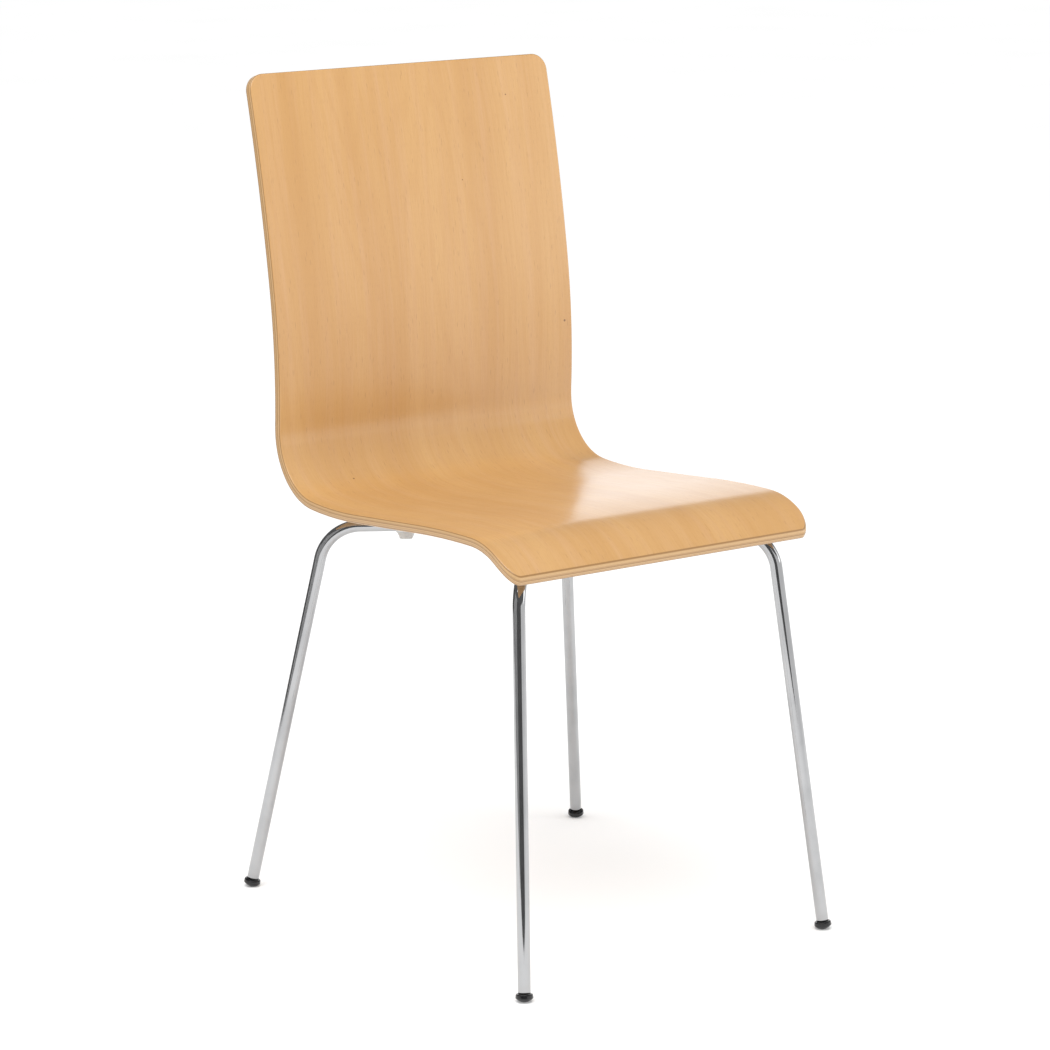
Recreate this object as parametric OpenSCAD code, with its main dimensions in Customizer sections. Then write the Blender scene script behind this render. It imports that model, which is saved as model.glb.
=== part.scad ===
// Stacking chair: a one-piece pressed plywood shell on a frame of two bent steel tubes.
// Millimetres, +Z up. The chair faces -Y, and the sitter's right hand is on the -X side.
// The origin is on the floor, under the middle of the chair's outer box.

/* [Plywood shell] */
// Width of the seat and the back
shell_w = 385; // [320:1:465]
// Thickness of the pressed plywood
shell_t = 9.5; // [9:0.5:13]
// Radius of the two corners at the top of the back
top_corner_r = 18; // [10:1:60]
// How far the two corners at the front of the seat reach back along its sides
front_corner_len = 34; // [12:1:40]
// How far the two corners at the front of the seat reach in along the lip
front_corner_w = 14; // [8:1:30]
// Radius of the rounding along the top of the lip
lip_round_r = 8; // [3:0.5:8.5]
// Height of the sitting face at the rear end of the flat stretch
seat_h = 442.5; // [365:0.5:535]
// How far the flat stretch rises towards the front, in degrees
seat_rise = 5.2; // [2:0.1:8]

/* [Stretches of the shell, along the sitting face] */
// Upper back, from its top edge down
back_len = 223.5; // [180:0.5:270]
// Turn of the upper back, in degrees
back_turn = 5.9; // [2:0.1:10]
// Lumbar stretch
lumbar_len = 152.5; // [120:0.5:190]
// Turn of the lumbar stretch, in degrees
lumbar_turn = 11.5; // [6:0.1:16]
// Tight bend between the back and the seat
bend_len = 100; // [80:0.5:120]
// Turn of the tight bend, in degrees
bend_turn = 89; // [80:0.1:96]
// Easy curve at the rear of the seat
seat_rear_len = 84; // [60:0.5:110]
// Turn of the easy curve, in degrees
seat_rear_turn = 9.1; // [4:0.1:14]
// Flat stretch that the frame is bolted to
flat_len = 116; // [110:0.5:145]
// Start of the fall at the front of the seat
seat_front_len = 94; // [60:0.5:120]
// Turn of the start of the fall, in degrees
seat_front_turn = 5; // [2:0.1:8]
// Roll over the front of the seat
roll_len = 60; // [45:0.5:75]
// Turn of the roll, in degrees
roll_turn = 37.5; // [25:0.1:45]
// Straight lip below the roll
lip_len = 20.5; // [15:0.5:40]

/* [Frame tubes] */
// Outer diameter of the steel tube
tube_d = 13; // [12:0.5:18]
// Wall of the steel tube
tube_wall = 1.5; // [1:0.1:2.5]
// Radius of the bends, at the middle of the tube
tube_bend_r = 46; // [38:1:56]
// How much thinner all round the tube is drawn at its bends
bend_neck = 0.15; // [0.12:0.01:0.3]
// Distance of each tube's middle run from the middle of the seat
run_x = 45; // [38:1:50]
// How far the rear arms fall from the middle run out to the legs
rear_arm_fall = 5; // [0:0.5:12]
// How far the front arms fall from the middle run out to the legs
front_arm_fall = 0; // [-4:0.5:8]

/* [Legs] */
// Distance of the rear feet from the middle of the chair
rear_foot_x = 220; // [190:1:260]
// Distance of the front feet from the middle of the chair
front_foot_x = 194; // [170:1:230]
// Distance of the rear feet behind the flat stretch of the seat
rear_foot_back = 171; // [140:1:200]
// Distance between the front feet and the rear feet
foot_gap = 475; // [420:1:560]
// Inward lean of the rear legs, in degrees
rear_leg_in = 8.9; // [4:0.1:12]
// Forward lean of the rear legs, in degrees
rear_leg_lean = 8.7; // [4:0.1:12]
// Inward lean of the front legs, in degrees
front_leg_in = 4.4; // [2:0.1:9]
// Backward lean of the front legs, in degrees
front_leg_lean = 7.5; // [4:0.1:11]

/* [Mounting plates] */
// Thickness of the steel plates
plate_t = 3; // [2:0.5:5]
// Size of each plate from front to back
plate_d = 34; // [28:1:40]
// Plate beyond the middle of the bolt, at each end
plate_end = 14; // [10:1:20]
// Radius of the corners of the plates
plate_corner_r = 8; // [3:1:12]
// Distance of the bolts from the middle of the seat
bolt_x = 65; // [62:1:80]
// Distance of the rear bolt row from the rear end of the flat stretch
rear_row = 24; // [22:1:30]
// Distance between the bolt rows
row_gap = 76; // [60:1:80]
// Distance round the tube from its top to the toe of the weld, in degrees
weld_reach = 68; // [50:1:75]
// Width of the weld on the plate, past the side of the tube
weld_foot = 1.8; // [1:0.1:3]

/* [Fasteners] */
// Diameter of the bolt shank
bolt_d = 6; // [5:0.5:8]
// Diameter of the bolt head
bolt_head_d = 11; // [9:0.5:14]
// Height of the bolt head
bolt_head_h = 3.3; // [2.5:0.1:5]
// Size across the flats of the hexagon socket
socket_af = 4; // [3:0.5:5]
// Depth of the hexagon socket
socket_depth = 2; // [1:0.1:2.2]
// Length of bolt inside the insert
bolt_engage = 6; // [4:0.5:7]
// Gap round the bolt in the plate, spacer and washer
bolt_gap = 0.3; // [0.1:0.1:0.6]
// Gap round the bolt in the threaded insert
thread_gap = 0.05; // [0.02:0.01:0.1]
// Outer diameter of the washers
washer_d = 12.5; // [12:0.5:16]
// Thickness of the washers
washer_t = 1.5; // [1:0.1:2.5]
// Diameter of the threaded inserts in the plywood
insert_d = 9; // [8:0.5:12]
// Length of the threaded inserts
insert_len = 7.5; // [6.5:0.5:8.5]
// Diameter of the flange of each insert
insert_flange_d = 13; // [12:0.5:18]
// Thickness of the flange of each insert
insert_flange_t = 1; // [0.8:0.1:1.5]
// Diameter of the spacers between the plates and the seat
spacer_d = 24; // [18:1:28]
// Height of the spacers
spacer_h = 12; // [8:0.5:16]

/* [Glides] */
// Diameter of the glide heads
glide_d = 18; // [16:0.5:24]
// Length of the leg's middle line from the floor to the end of the tube
glide_head_h = 8; // [7:0.5:10]
// Radius of the domed sole
glide_dome_r = 12; // [11.5:0.5:16]
// Diameter of the flat on the sole that stands on the floor
glide_flat_d = 7; // [5:0.5:9]
// Length of the plug inside the tube
glide_plug_len = 22; // [12:1:40]

/* [Stacking buffers] */
// Distance from the corner of the leg and arm to the middle of the buffer
buffer_at = 85; // [75:1:95]
// Length of the buffer along the arm, at its top
buffer_len = 20.5; // [16:0.5:26]
// Length of the buffer along the arm, at its foot
buffer_foot_len = 15; // [10:0.5:16]
// Plastic round the tube
buffer_wall = 2.5; // [1.5:0.1:4]
// Foot of the buffer below the tube
buffer_drop = 8; // [5:0.5:12]
// Width of the foot of the buffer, across the arm
buffer_foot_w = 13; // [9:0.5:16]
// Radius of the lower corners of the buffer
buffer_corner_r = 3; // [1:0.5:4]
// Width of the snap slot over the tube
buffer_slot_w = 9; // [6:0.5:11]

/* [Hidden] */

// Sides and ends of the chair, as signs along X and Y.
RIGHT = -1;
LEFT = 1;
FRONT = -1;
REAR = 1;

// Numbers of faces round a small curve and round a bend of the tube.
small_fn = 72;
bend_fn = 180;
// Number of chords in each corner of the sheet.
corner_steps = 15;
// Largest turn between two points of the curved sheet, in degrees.
arc_step = 1.5;
// Length of straight tube that runs on into the start and the end of each bend.
bend_lap = 0.5;
// Overshoot of every cutting shape past the face that it opens.
cut = 1;
tube_r = tube_d / 2;
full_turn = 360;
square_turn = 90;

// ---- The run of the shell ------------------------------------------------------------------
// Each stretch is [length along the sitting face, turn]. A turn below zero hollows the sitting
// face, and one above zero rounds it. Headings are taken in the Y-Z plane, from +Y towards +Z.
stretches = [
    [back_len, back_turn],
    [lumbar_len, lumbar_turn],
    [bend_len, -bend_turn],
    [seat_rear_len, -seat_rear_turn],
    [flat_len, 0],
    [seat_front_len, seat_front_turn],
    [roll_len, roll_turn],
    [lip_len, 0]
];
FLAT = 4;
LAST = len(stretches) - 1;

function radius_of(stretch) = stretch[0] / (abs(stretch[1]) * PI / (full_turn / 2));

// Step in Y and Z over a stretch that sets out on a heading.
function step_over(stretch, heading) =
    stretch[1] == 0
    ? stretch[0] * [cos(heading), sin(heading)]
    : let (r = radius_of(stretch) * sign(stretch[1]), ahead = heading + stretch[1])
        r * [sin(ahead) - sin(heading), cos(heading) - cos(ahead)];

// Start of stretch i as [y, z, heading]. The rear end of the flat stretch is at y = 0.
function start_of(i) =
    i == FLAT ? [0, seat_h, -full_turn / 2 - seat_rise]
    : i > FLAT
    ? let (before = start_of(i - 1), went = step_over(stretches[i - 1], before[2]))
        [before[0] + went[0], before[1] + went[1], before[2] + stretches[i - 1][1]]
    : let (after = start_of(i + 1), heading = after[2] - stretches[i][1],
        went = step_over(stretches[i], heading))
        [after[0] - went[0], after[1] - went[1], heading];

// ---- The underside of the flat stretch, which carries the frame ---------------------------
front_row = rear_row + row_gap;
function row_y(end) = end == FRONT ? -front_row : -rear_row;

// Point below the underside of the flat stretch: across, backwards and up from its rear end.
function under_seat(p) = [
    p[0],
    p[1] * cos(seat_rise) + (p[2] - shell_t) * sin(seat_rise),
    seat_h - p[1] * sin(seat_rise) + (p[2] - shell_t) * cos(seat_rise)
];

// ---- The run of a frame tube ---------------------------------------------------------------
// Each tube goes foot, leg, arm, middle run, arm, leg, foot, and turns at four corners.
plate_bottom = -(spacer_h + plate_t);
run_z = plate_bottom - tube_r;
// Turn from the middle run into an arm, for which room is left beyond the plates.
arm_turn = 50;
weld_margin = 3.5;
run_end = plate_d / 2 + tube_bend_r * tan(arm_turn / 2) + weld_margin;

function foot_x(end) = end == FRONT ? front_foot_x : rear_foot_x;
function foot_y(end) = end == FRONT ? rear_foot_back - foot_gap : rear_foot_back;
function leg_in(end) = end == FRONT ? front_leg_in : rear_leg_in;
function leg_lean(end) = end == FRONT ? front_leg_lean : rear_leg_lean;
function arm_fall(end) = end == FRONT ? front_arm_fall : rear_arm_fall;

// Point on the middle line of a leg, at a height above the floor.
function on_leg_line(side, end, height) = [
    side * (foot_x(end) - height * tan(leg_in(end))),
    foot_y(end) - end * height * tan(leg_lean(end)),
    height
];
function run_corner(side, end) = under_seat([side * run_x, row_y(end) + end * run_end, run_z]);
function leg_corner(side, end) = on_leg_line(side, end, run_corner(side, end)[2] - arm_fall(end));
function unit(v) = v / norm(v);
function leg_way(side, end) = unit(leg_corner(side, end) - on_leg_line(side, end, 0));
function tube_end(side, end) = on_leg_line(side, end, 0) + glide_head_h * leg_way(side, end);
function tube_corners(side) = [
    tube_end(side, REAR), leg_corner(side, REAR), run_corner(side, REAR),
    run_corner(side, FRONT), leg_corner(side, FRONT), tube_end(side, FRONT)
];

// ---- The middle of the chair's outer box, measured from the flat stretch -------------------
top_edge = start_of(0);
back_y = top_edge[0] - shell_t * sin(top_edge[2]);
dome_centre_z = sqrt(glide_dome_r ^ 2 - (glide_flat_d / 2) ^ 2);
dome_rim_h = dome_centre_z - sqrt(glide_dome_r ^ 2 - (glide_d / 2) ^ 2);
front_y = foot_y(FRONT) + dome_rim_h * tan(front_leg_lean) - glide_d / 2 * cos(front_leg_lean);
middle_y = (back_y + front_y) / 2;

module centred() {
    translate([0, -middle_y, 0]) children();
}

// ---- Plywood shell -------------------------------------------------------------------------
// Draws with X along the heading of the sheet and Y out of its underside, across the chair.
module along_sheet(start) {
    rotate([square_turn, 0, square_turn])
        translate([start[0], start[1], 0])
            rotate(start[2])
                children();
}

// Points along one face of stretch i, at a depth below the sitting face.
function face_points(i, depth) =
    let (s = stretches[i], start = start_of(i), steps = max(1, ceil(abs(s[1]) / arc_step)))
        [for (k = [0 : steps])
            let (part = [s[0] * k / steps, s[1] * k / steps],
                went = k == 0 ? [0, 0] : step_over(part, start[2]), way = start[2] + part[1])
                [start[0] + went[0] - depth * sin(way), start[1] + went[1] + depth * cos(way)]];

// Points along one face of the whole sheet, with each meeting of two stretches taken once.
function sheet_face(depth) = [
    for (i = [0 : LAST], points = [face_points(i, depth)], k = [(i == 0 ? 0 : 1) : len(points) - 1])
        points[k]
];

function backwards(points) = [for (k = [len(points) - 1 : -1 : 0]) points[k]];

module sheet() {
    rotate([square_turn, 0, square_turn])
        linear_extrude(height = shell_w, center = true)
            polygon(concat(sheet_face(0), backwards(sheet_face(shell_t))));
}

// Takes the square corners off an edge of the sheet that lies at x = 0 and ends towards -X.
// Each corner is a quarter of an ellipse, with its reach back from the edge and in along it.
module corner_cutter(back, along) {
    outer = shell_w / 2;
    rounded = [for (k = [0 : corner_steps])
        let (turn = square_turn * k / corner_steps)
            [back * (1 - sin(turn)), outer - along * (1 - cos(turn))]];
    square = [[-cut, outer - along], [-cut, outer + cut], [back, outer + cut]];
    for (side = [RIGHT, LEFT])
        translate([0, shell_t / 2, 0])
            rotate([square_turn, 0, 0])
                linear_extrude(height = 3 * shell_t, center = true)
                    polygon([for (p = concat(rounded, square)) [p[0], side * p[1]]]);
}

// Rounds the sitting side of an edge of the sheet that lies at x = 0 and ends towards -X.
module edge_rounder(r) {
    difference() {
        translate([-cut, -cut, -shell_w / 2 - cut])
            cube([r + cut, r + cut, shell_w + 2 * cut]);
        translate([r, r, 0])
            cylinder(r = r, h = shell_w + 4 * cut, center = true, $fn = small_fn);
    }
}

module below_flat() {
    translate([0, 0, seat_h])
        rotate([-seat_rise, 0, 0])
            translate([0, 0, -shell_t])
                children();
}

module at_bolt(side, end) {
    below_flat() translate([side * bolt_x, row_y(end), 0]) children();
}

module insert_outline(grow) {
    translate([0, 0, -grow]) cylinder(d = insert_d, h = insert_len + grow, $fn = small_fn);
    translate([0, 0, -grow]) cylinder(d = insert_flange_d, h = insert_flange_t + grow, $fn = small_fn);
}

module seat_shell() {
    front_edge = start_of(LAST);
    color([0.86, 0.70, 0.52])
        centred()
            difference() {
                sheet();
                along_sheet(start_of(0)) corner_cutter(top_corner_r, top_corner_r);
                along_sheet(front_edge)
                    translate([lip_len, 0, 0])
                        mirror([1, 0, 0]) {
                            corner_cutter(front_corner_len, front_corner_w);
                            edge_rounder(lip_round_r);
                        }
                for (side = [RIGHT, LEFT], end = [FRONT, REAR])
                    at_bolt(side, end) insert_outline(cut);
            }
}

// ---- Frame tubes ---------------------------------------------------------------------------
module along_line(from, way) {
    translate(from)
        rotate([0, acos(way[2]), atan2(way[1], way[0])])
            children();
}

// Length of straight tube that a bend takes up on each side of corner i.
function bend_reach(points, i) =
    i == 0 || i == len(points) - 1 ? 0
    : tube_bend_r * tan(acos(unit(points[i] - points[i - 1]) * unit(points[i + 1] - points[i])) / 2);

// A solid bar along the points, bent at each inner one, and longer by spare at both ends.
// Its bends are a little thinner than its straights, as bending draws the tube.
module bent_bar(points, r, spare) {
    final = len(points) - 1;
    for (i = [0 : final - 1]) {
        way = unit(points[i + 1] - points[i]);
        lead = i == 0 ? spare : bend_lap - bend_reach(points, i);
        tail = i == final - 1 ? spare : bend_lap - bend_reach(points, i + 1);
        along_line(points[i] - lead * way, way)
            cylinder(r = r, h = norm(points[i + 1] - points[i]) + lead + tail, $fn = small_fn);
    }
    for (i = [1 : final - 1]) {
        way_in = unit(points[i] - points[i - 1]);
        way_out = unit(points[i + 1] - points[i]);
        inward = unit(way_out - (way_out * way_in) * way_in);
        axis = cross(way_in, inward);
        hub = points[i] - bend_reach(points, i) * way_in + tube_bend_r * inward;
        multmatrix([
            [-inward[0], way_in[0], axis[0], hub[0]],
            [-inward[1], way_in[1], axis[1], hub[1]],
            [-inward[2], way_in[2], axis[2], hub[2]]
        ])
            rotate_extrude(angle = acos(way_in * way_out), $fn = bend_fn)
                translate([tube_bend_r, 0])
                    circle(r = r - bend_neck, $fn = small_fn);
    }
}

module frame_tube(side) {
    color([0.78, 0.79, 0.80])
        centred()
            difference() {
                bent_bar(tube_corners(side), tube_r, 0);
                bent_bar(tube_corners(side), tube_r - tube_wall, cut);
            }
}

// ---- Mounting plates and what bolts them to the seat ---------------------------------------
// A weld between the plate and one side of a tube, drawn with the top of the tube at x = 0.
module weld_fillet(side) {
    toe = tube_r * sin(weld_reach);
    depth = tube_r * (1 - cos(weld_reach));
    root = tube_r / 3;
    difference() {
        rotate([square_turn, 0, 0])
            linear_extrude(height = plate_d, center = true)
                polygon([
                    [side * root, 0], [side * (tube_r + weld_foot), 0],
                    [side * toe, -depth], [side * root, -depth]
                ]);
        translate([0, 0, -tube_r])
            rotate([square_turn, 0, 0])
                cylinder(r = tube_r, h = plate_d + 2 * cut, center = true, $fn = small_fn);
    }
}

module mounting_plate(end) {
    half_w = bolt_x + plate_end;
    color([0.70, 0.71, 0.72])
        centred() {
            difference() {
                below_flat()
                    translate([-half_w, row_y(end) - plate_d / 2, plate_bottom])
                        cube([2 * half_w, plate_d, plate_t]);
                below_flat()
                    translate([0, row_y(end), plate_bottom + plate_t / 2])
                        for (across = [-1, 1], along = [-1, 1])
                            translate([across * (half_w - plate_corner_r),
                                along * (plate_d / 2 - plate_corner_r), 0])
                                difference() {
                                    translate([across > 0 ? 0 : -plate_corner_r - cut,
                                        along > 0 ? 0 : -plate_corner_r - cut, -plate_t])
                                        cube([plate_corner_r + cut, plate_corner_r + cut, 2 * plate_t]);
                                    cylinder(r = plate_corner_r, h = 2 * plate_t + 2 * cut,
                                        center = true, $fn = small_fn);
                                }
                for (side = [RIGHT, LEFT])
                    at_bolt(side, end)
                        translate([0, 0, plate_bottom - cut])
                            cylinder(d = bolt_d + 2 * bolt_gap, h = plate_t + 2 * cut, $fn = small_fn);
            }
            for (side = [RIGHT, LEFT], flank = [-1, 1])
                below_flat()
                    translate([side * run_x, row_y(end), plate_bottom])
                        weld_fillet(flank);
        }
}

module spacer(side, end) {
    color([0.10, 0.10, 0.11])
        centred()
            at_bolt(side, end)
                translate([0, 0, -spacer_h])
                    difference() {
                        cylinder(d = spacer_d, h = spacer_h, $fn = small_fn);
                        translate([0, 0, -cut])
                            cylinder(d = bolt_d + 2 * bolt_gap, h = spacer_h + 2 * cut, $fn = small_fn);
                    }
}

module threaded_insert(side, end) {
    color([0.72, 0.60, 0.34])
        centred()
            at_bolt(side, end)
                difference() {
                    insert_outline(0);
                    translate([0, 0, -cut])
                        cylinder(d = bolt_d + 2 * thread_gap, h = insert_len + 2 * cut, $fn = small_fn);
                }
}

module washer(side, end) {
    color([0.74, 0.75, 0.77])
        centred()
            at_bolt(side, end)
                translate([0, 0, plate_bottom - washer_t])
                    difference() {
                        cylinder(d = washer_d, h = washer_t, $fn = small_fn);
                        translate([0, 0, -cut])
                            cylinder(d = bolt_d + 2 * bolt_gap, h = washer_t + 2 * cut, $fn = small_fn);
                    }
}

module bolt(side, end) {
    under_head = plate_bottom - washer_t;
    color([0.60, 0.61, 0.63])
        centred()
            at_bolt(side, end)
                difference() {
                    union() {
                        translate([0, 0, under_head])
                            cylinder(d = bolt_d, h = bolt_engage - under_head, $fn = small_fn);
                        translate([0, 0, under_head - bolt_head_h])
                            cylinder(d1 = bolt_head_d * 2 / 3, d2 = bolt_head_d, h = bolt_head_h,
                                $fn = small_fn);
                    }
                    translate([0, 0, under_head - bolt_head_h - cut])
                        cylinder(d = socket_af / cos(full_turn / 12), h = socket_depth + cut, $fn = 6);
                }
}

// ---- Stacking buffers ----------------------------------------------------------------------
function corner_arc(centre, r, from, to, steps) =
    [for (k = [0 : steps]) centre + r * [cos(from + (to - from) * k / steps),
        sin(from + (to - from) * k / steps)]];

module buffer(side, end) {
    arm_way = unit(run_corner(side, end) - leg_corner(side, end));
    across = unit(cross([0, 0, 1], arm_way));
    up = cross(arm_way, across);
    middle = leg_corner(side, end) + buffer_at * arm_way;
    foot_z = -tube_r - buffer_drop;
    ring_r = tube_r + buffer_wall;
    round_x = buffer_foot_len / 2 - buffer_corner_r;
    round_z = foot_z + buffer_corner_r;
    arc_steps = 6;
    arc_end = -15;
    color([0.80, 0.80, 0.80])
        centred()
            multmatrix([
                [arm_way[0], across[0], up[0], middle[0]],
                [arm_way[1], across[1], up[1], middle[1]],
                [arm_way[2], across[2], up[2], middle[2]]
            ])
                difference() {
                    intersection() {
                        // Seen from the side: a block that narrows to a foot with round corners.
                        rotate([square_turn, 0, 0])
                            linear_extrude(height = 2 * ring_r + 2 * cut, center = true)
                                polygon(concat(
                                    [[buffer_len / 2, ring_r + cut], [-buffer_len / 2, ring_r + cut],
                                        [-buffer_len / 2, -tube_r]],
                                    corner_arc([-round_x, round_z], buffer_corner_r,
                                        -full_turn / 2 - arc_end, -square_turn, arc_steps),
                                    corner_arc([round_x, round_z], buffer_corner_r,
                                        -square_turn, arc_end, arc_steps),
                                    [[buffer_len / 2, -tube_r]]
                                ));
                        // Seen along the arm: a ring round the tube, with a narrower foot under it.
                        union() {
                            rotate([0, square_turn, 0])
                                cylinder(r = ring_r, h = buffer_len + 2 * cut, center = true,
                                    $fn = small_fn);
                            translate([-buffer_len / 2 - cut, -buffer_foot_w / 2, foot_z - cut])
                                cube([buffer_len + 2 * cut, buffer_foot_w, -foot_z + cut]);
                        }
                    }
                    rotate([0, square_turn, 0])
                        cylinder(r = tube_r, h = buffer_len + 4 * cut, center = true, $fn = small_fn);
                    translate([-buffer_len / 2 - cut, -buffer_slot_w / 2, 0])
                        cube([buffer_len + 2 * cut, buffer_slot_w, ring_r + 2 * cut]);
                }
}

// ---- Glides --------------------------------------------------------------------------------
module glide(side, end) {
    way = leg_way(side, end);
    color([0.07, 0.07, 0.08])
        centred()
            difference() {
                along_line(on_leg_line(side, end, 0), way) {
                    intersection() {
                        translate([0, 0, -glide_dome_r])
                            cylinder(d = glide_d, h = glide_dome_r + glide_head_h, $fn = small_fn);
                        translate([0, 0, dome_centre_z / way[2]])
                            sphere(r = glide_dome_r, $fn = small_fn);
                    }
                    translate([0, 0, glide_head_h / 2])
                        cylinder(r = tube_r - tube_wall, h = glide_head_h / 2 + glide_plug_len,
                            $fn = small_fn);
                }
                translate([on_leg_line(side, end, 0)[0] - glide_d,
                    on_leg_line(side, end, 0)[1] - glide_d, -2 * glide_d])
                    cube([2 * glide_d, 2 * glide_d, 2 * glide_d]);
            }
}

seat_shell();
frame_tube(RIGHT);  // frame_tube_right
frame_tube(LEFT);  // frame_tube_left
mounting_plate(FRONT);  // mounting_plate_front
mounting_plate(REAR);  // mounting_plate_rear
spacer(RIGHT, FRONT);  // spacer_front_right
spacer(LEFT, FRONT);  // spacer_front_left
spacer(RIGHT, REAR);  // spacer_rear_right
spacer(LEFT, REAR);  // spacer_rear_left
threaded_insert(RIGHT, FRONT);  // insert_front_right
threaded_insert(LEFT, FRONT);  // insert_front_left
threaded_insert(RIGHT, REAR);  // insert_rear_right
threaded_insert(LEFT, REAR);  // insert_rear_left
washer(RIGHT, FRONT);  // washer_front_right
washer(LEFT, FRONT);  // washer_front_left
washer(RIGHT, REAR);  // washer_rear_right
washer(LEFT, REAR);  // washer_rear_left
bolt(RIGHT, FRONT);  // bolt_front_right
bolt(LEFT, FRONT);  // bolt_front_left
bolt(RIGHT, REAR);  // bolt_rear_right
bolt(LEFT, REAR);  // bolt_rear_left
buffer(RIGHT, FRONT);  // buffer_front_right
buffer(LEFT, FRONT);  // buffer_front_left
buffer(RIGHT, REAR);  // buffer_rear_right
buffer(LEFT, REAR);  // buffer_rear_left
glide(RIGHT, FRONT);  // glide_front_right
glide(LEFT, FRONT);  // glide_front_left
glide(RIGHT, REAR);  // glide_rear_right
glide(LEFT, REAR);  // glide_rear_left
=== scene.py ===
import math

import bmesh
import bpy
import numpy as np
from mathutils import Matrix, Vector


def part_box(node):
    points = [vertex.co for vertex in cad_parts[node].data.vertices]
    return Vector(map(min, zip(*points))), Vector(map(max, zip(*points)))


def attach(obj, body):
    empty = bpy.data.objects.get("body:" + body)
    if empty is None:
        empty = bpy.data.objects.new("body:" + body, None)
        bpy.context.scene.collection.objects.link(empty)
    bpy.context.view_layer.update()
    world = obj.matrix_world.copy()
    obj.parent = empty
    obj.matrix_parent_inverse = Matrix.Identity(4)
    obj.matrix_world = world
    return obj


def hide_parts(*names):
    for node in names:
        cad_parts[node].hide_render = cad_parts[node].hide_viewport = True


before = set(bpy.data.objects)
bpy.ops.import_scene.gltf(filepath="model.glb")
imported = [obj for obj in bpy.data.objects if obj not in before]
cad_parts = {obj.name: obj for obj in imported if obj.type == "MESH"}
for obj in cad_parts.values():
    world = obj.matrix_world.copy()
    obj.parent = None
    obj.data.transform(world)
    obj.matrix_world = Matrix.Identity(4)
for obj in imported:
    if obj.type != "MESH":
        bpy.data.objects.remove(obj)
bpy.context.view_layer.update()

# ---- Plywood shell -------------------------------------------------------------------------
# Seat and back in one sheet of beech plywood, glued and pressed hot in a curved mould.
# It is cut to outline, its edges are eased and sanded, and it is lacquered satin all over.
SHEET_T = 0.0095
TOP_CORNER_R = 0.018
# The front corners are drawn out down the sides, as a quarter of an ellipse.
FRONT_CORNER_LENGTH = 0.034
FRONT_CORNER_WIDTH = 0.014
# The sitting side of the cut edge is rounded over, most of all along the front.
SIDE_ROUNDING = 0.0018
FRONT_ROUNDING = 0.0080
UNDERSIDE_ROUNDING = 0.0012
# Length in metres and turn in degrees of each stretch, from the top edge down to the front
# lip. A turn below zero hollows the sitting face.
STRETCHES = [
    (0.2235, 5.9),
    (0.1525, 11.5),
    (0.1000, -89.0),
    (0.0840, -9.1),
    (0.1160, 0.0),
    (0.0940, 5.0),
    (0.0600, 37.5),
    (0.0205, 0.0),
]
TOP_EDGE_HEADING = -104.5
# Over this length the mould runs one curve into the next.
CURVE_EASING = 0.014
SHEET_STEP = 0.0005
shell_low, shell_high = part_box("seat_shell")
HALF_SHELL_W = (shell_high.x - shell_low.x) / 2
SHEET_LENGTH = sum(length for length, turn in STRETCHES)


def press_sheet():
    """The sitting face in the Y-Z plane: distance down the sheet, Y, Z and heading."""
    ends = np.cumsum([0.0] + [length for length, turn in STRETCHES])
    headings = np.cumsum([TOP_EDGE_HEADING] + [turn for length, turn in STRETCHES])
    down = np.linspace(0, SHEET_LENGTH, round(SHEET_LENGTH / SHEET_STEP) + 1)
    heading = np.radians(np.interp(down, ends, headings))
    reach = round(CURVE_EASING / SHEET_STEP / 2)
    longer = np.pad(heading, reach, mode="reflect", reflect_type="odd")
    heading = np.convolve(longer, np.ones(2 * reach + 1) / (2 * reach + 1), "valid")
    halfway = (heading[1:] + heading[:-1]) / 2
    y = np.concatenate([[0], np.cumsum(np.cos(halfway) * SHEET_STEP)])
    z = np.concatenate([[0], np.cumsum(np.sin(halfway) * SHEET_STEP)])
    faces_y = np.concatenate([y, y - SHEET_T * np.sin(heading)])
    faces_z = np.concatenate([z, z + SHEET_T * np.cos(heading)])
    y += shell_high.y - faces_y.max()
    z += shell_high.z - faces_z.max()
    return down, y, z, heading


down_sheet, sheet_y, sheet_z, sheet_heading = press_sheet()


def on_sheet(across, down, depth):
    """Point of the chair at a place on the sheet, a depth below its sitting face."""
    heading = np.interp(down, down_sheet, sheet_heading)
    y = np.interp(down, down_sheet, sheet_y) - depth * math.sin(heading)
    z = np.interp(down, down_sheet, sheet_z) + depth * math.cos(heading)
    return Vector((across, y, z))


CORNER_STEPS = 14
STRAIGHT_LENGTH = SHEET_LENGTH - TOP_CORNER_R - FRONT_CORNER_LENGTH
ROW_SPACING = 0.003
STRAIGHT_ROWS = round(STRAIGHT_LENGTH / ROW_SPACING)
LAST_ROW = STRAIGHT_ROWS + 2 * CORNER_STEPS


def outline_row(row, inset):
    """Distance down the sheet and half width, in a row of the outline inset from the cut."""
    from_front = LAST_ROW - row
    if row <= CORNER_STEPS:
        angle = math.pi / 2 * row / CORNER_STEPS
        down = TOP_CORNER_R - (TOP_CORNER_R - inset) * math.cos(angle)
        return down, HALF_SHELL_W - TOP_CORNER_R + (TOP_CORNER_R - inset) * math.sin(angle)
    if from_front <= CORNER_STEPS:
        angle = math.pi / 2 * from_front / CORNER_STEPS
        up = FRONT_CORNER_LENGTH - (FRONT_CORNER_LENGTH - inset) * math.cos(angle)
        narrower = FRONT_CORNER_WIDTH - (FRONT_CORNER_WIDTH - inset) * math.sin(angle)
        return SHEET_LENGTH - up, HALF_SHELL_W - narrower
    down = TOP_CORNER_R + STRAIGHT_LENGTH * (row - CORNER_STEPS) / STRAIGHT_ROWS
    return down, HALF_SHELL_W - inset


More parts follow.
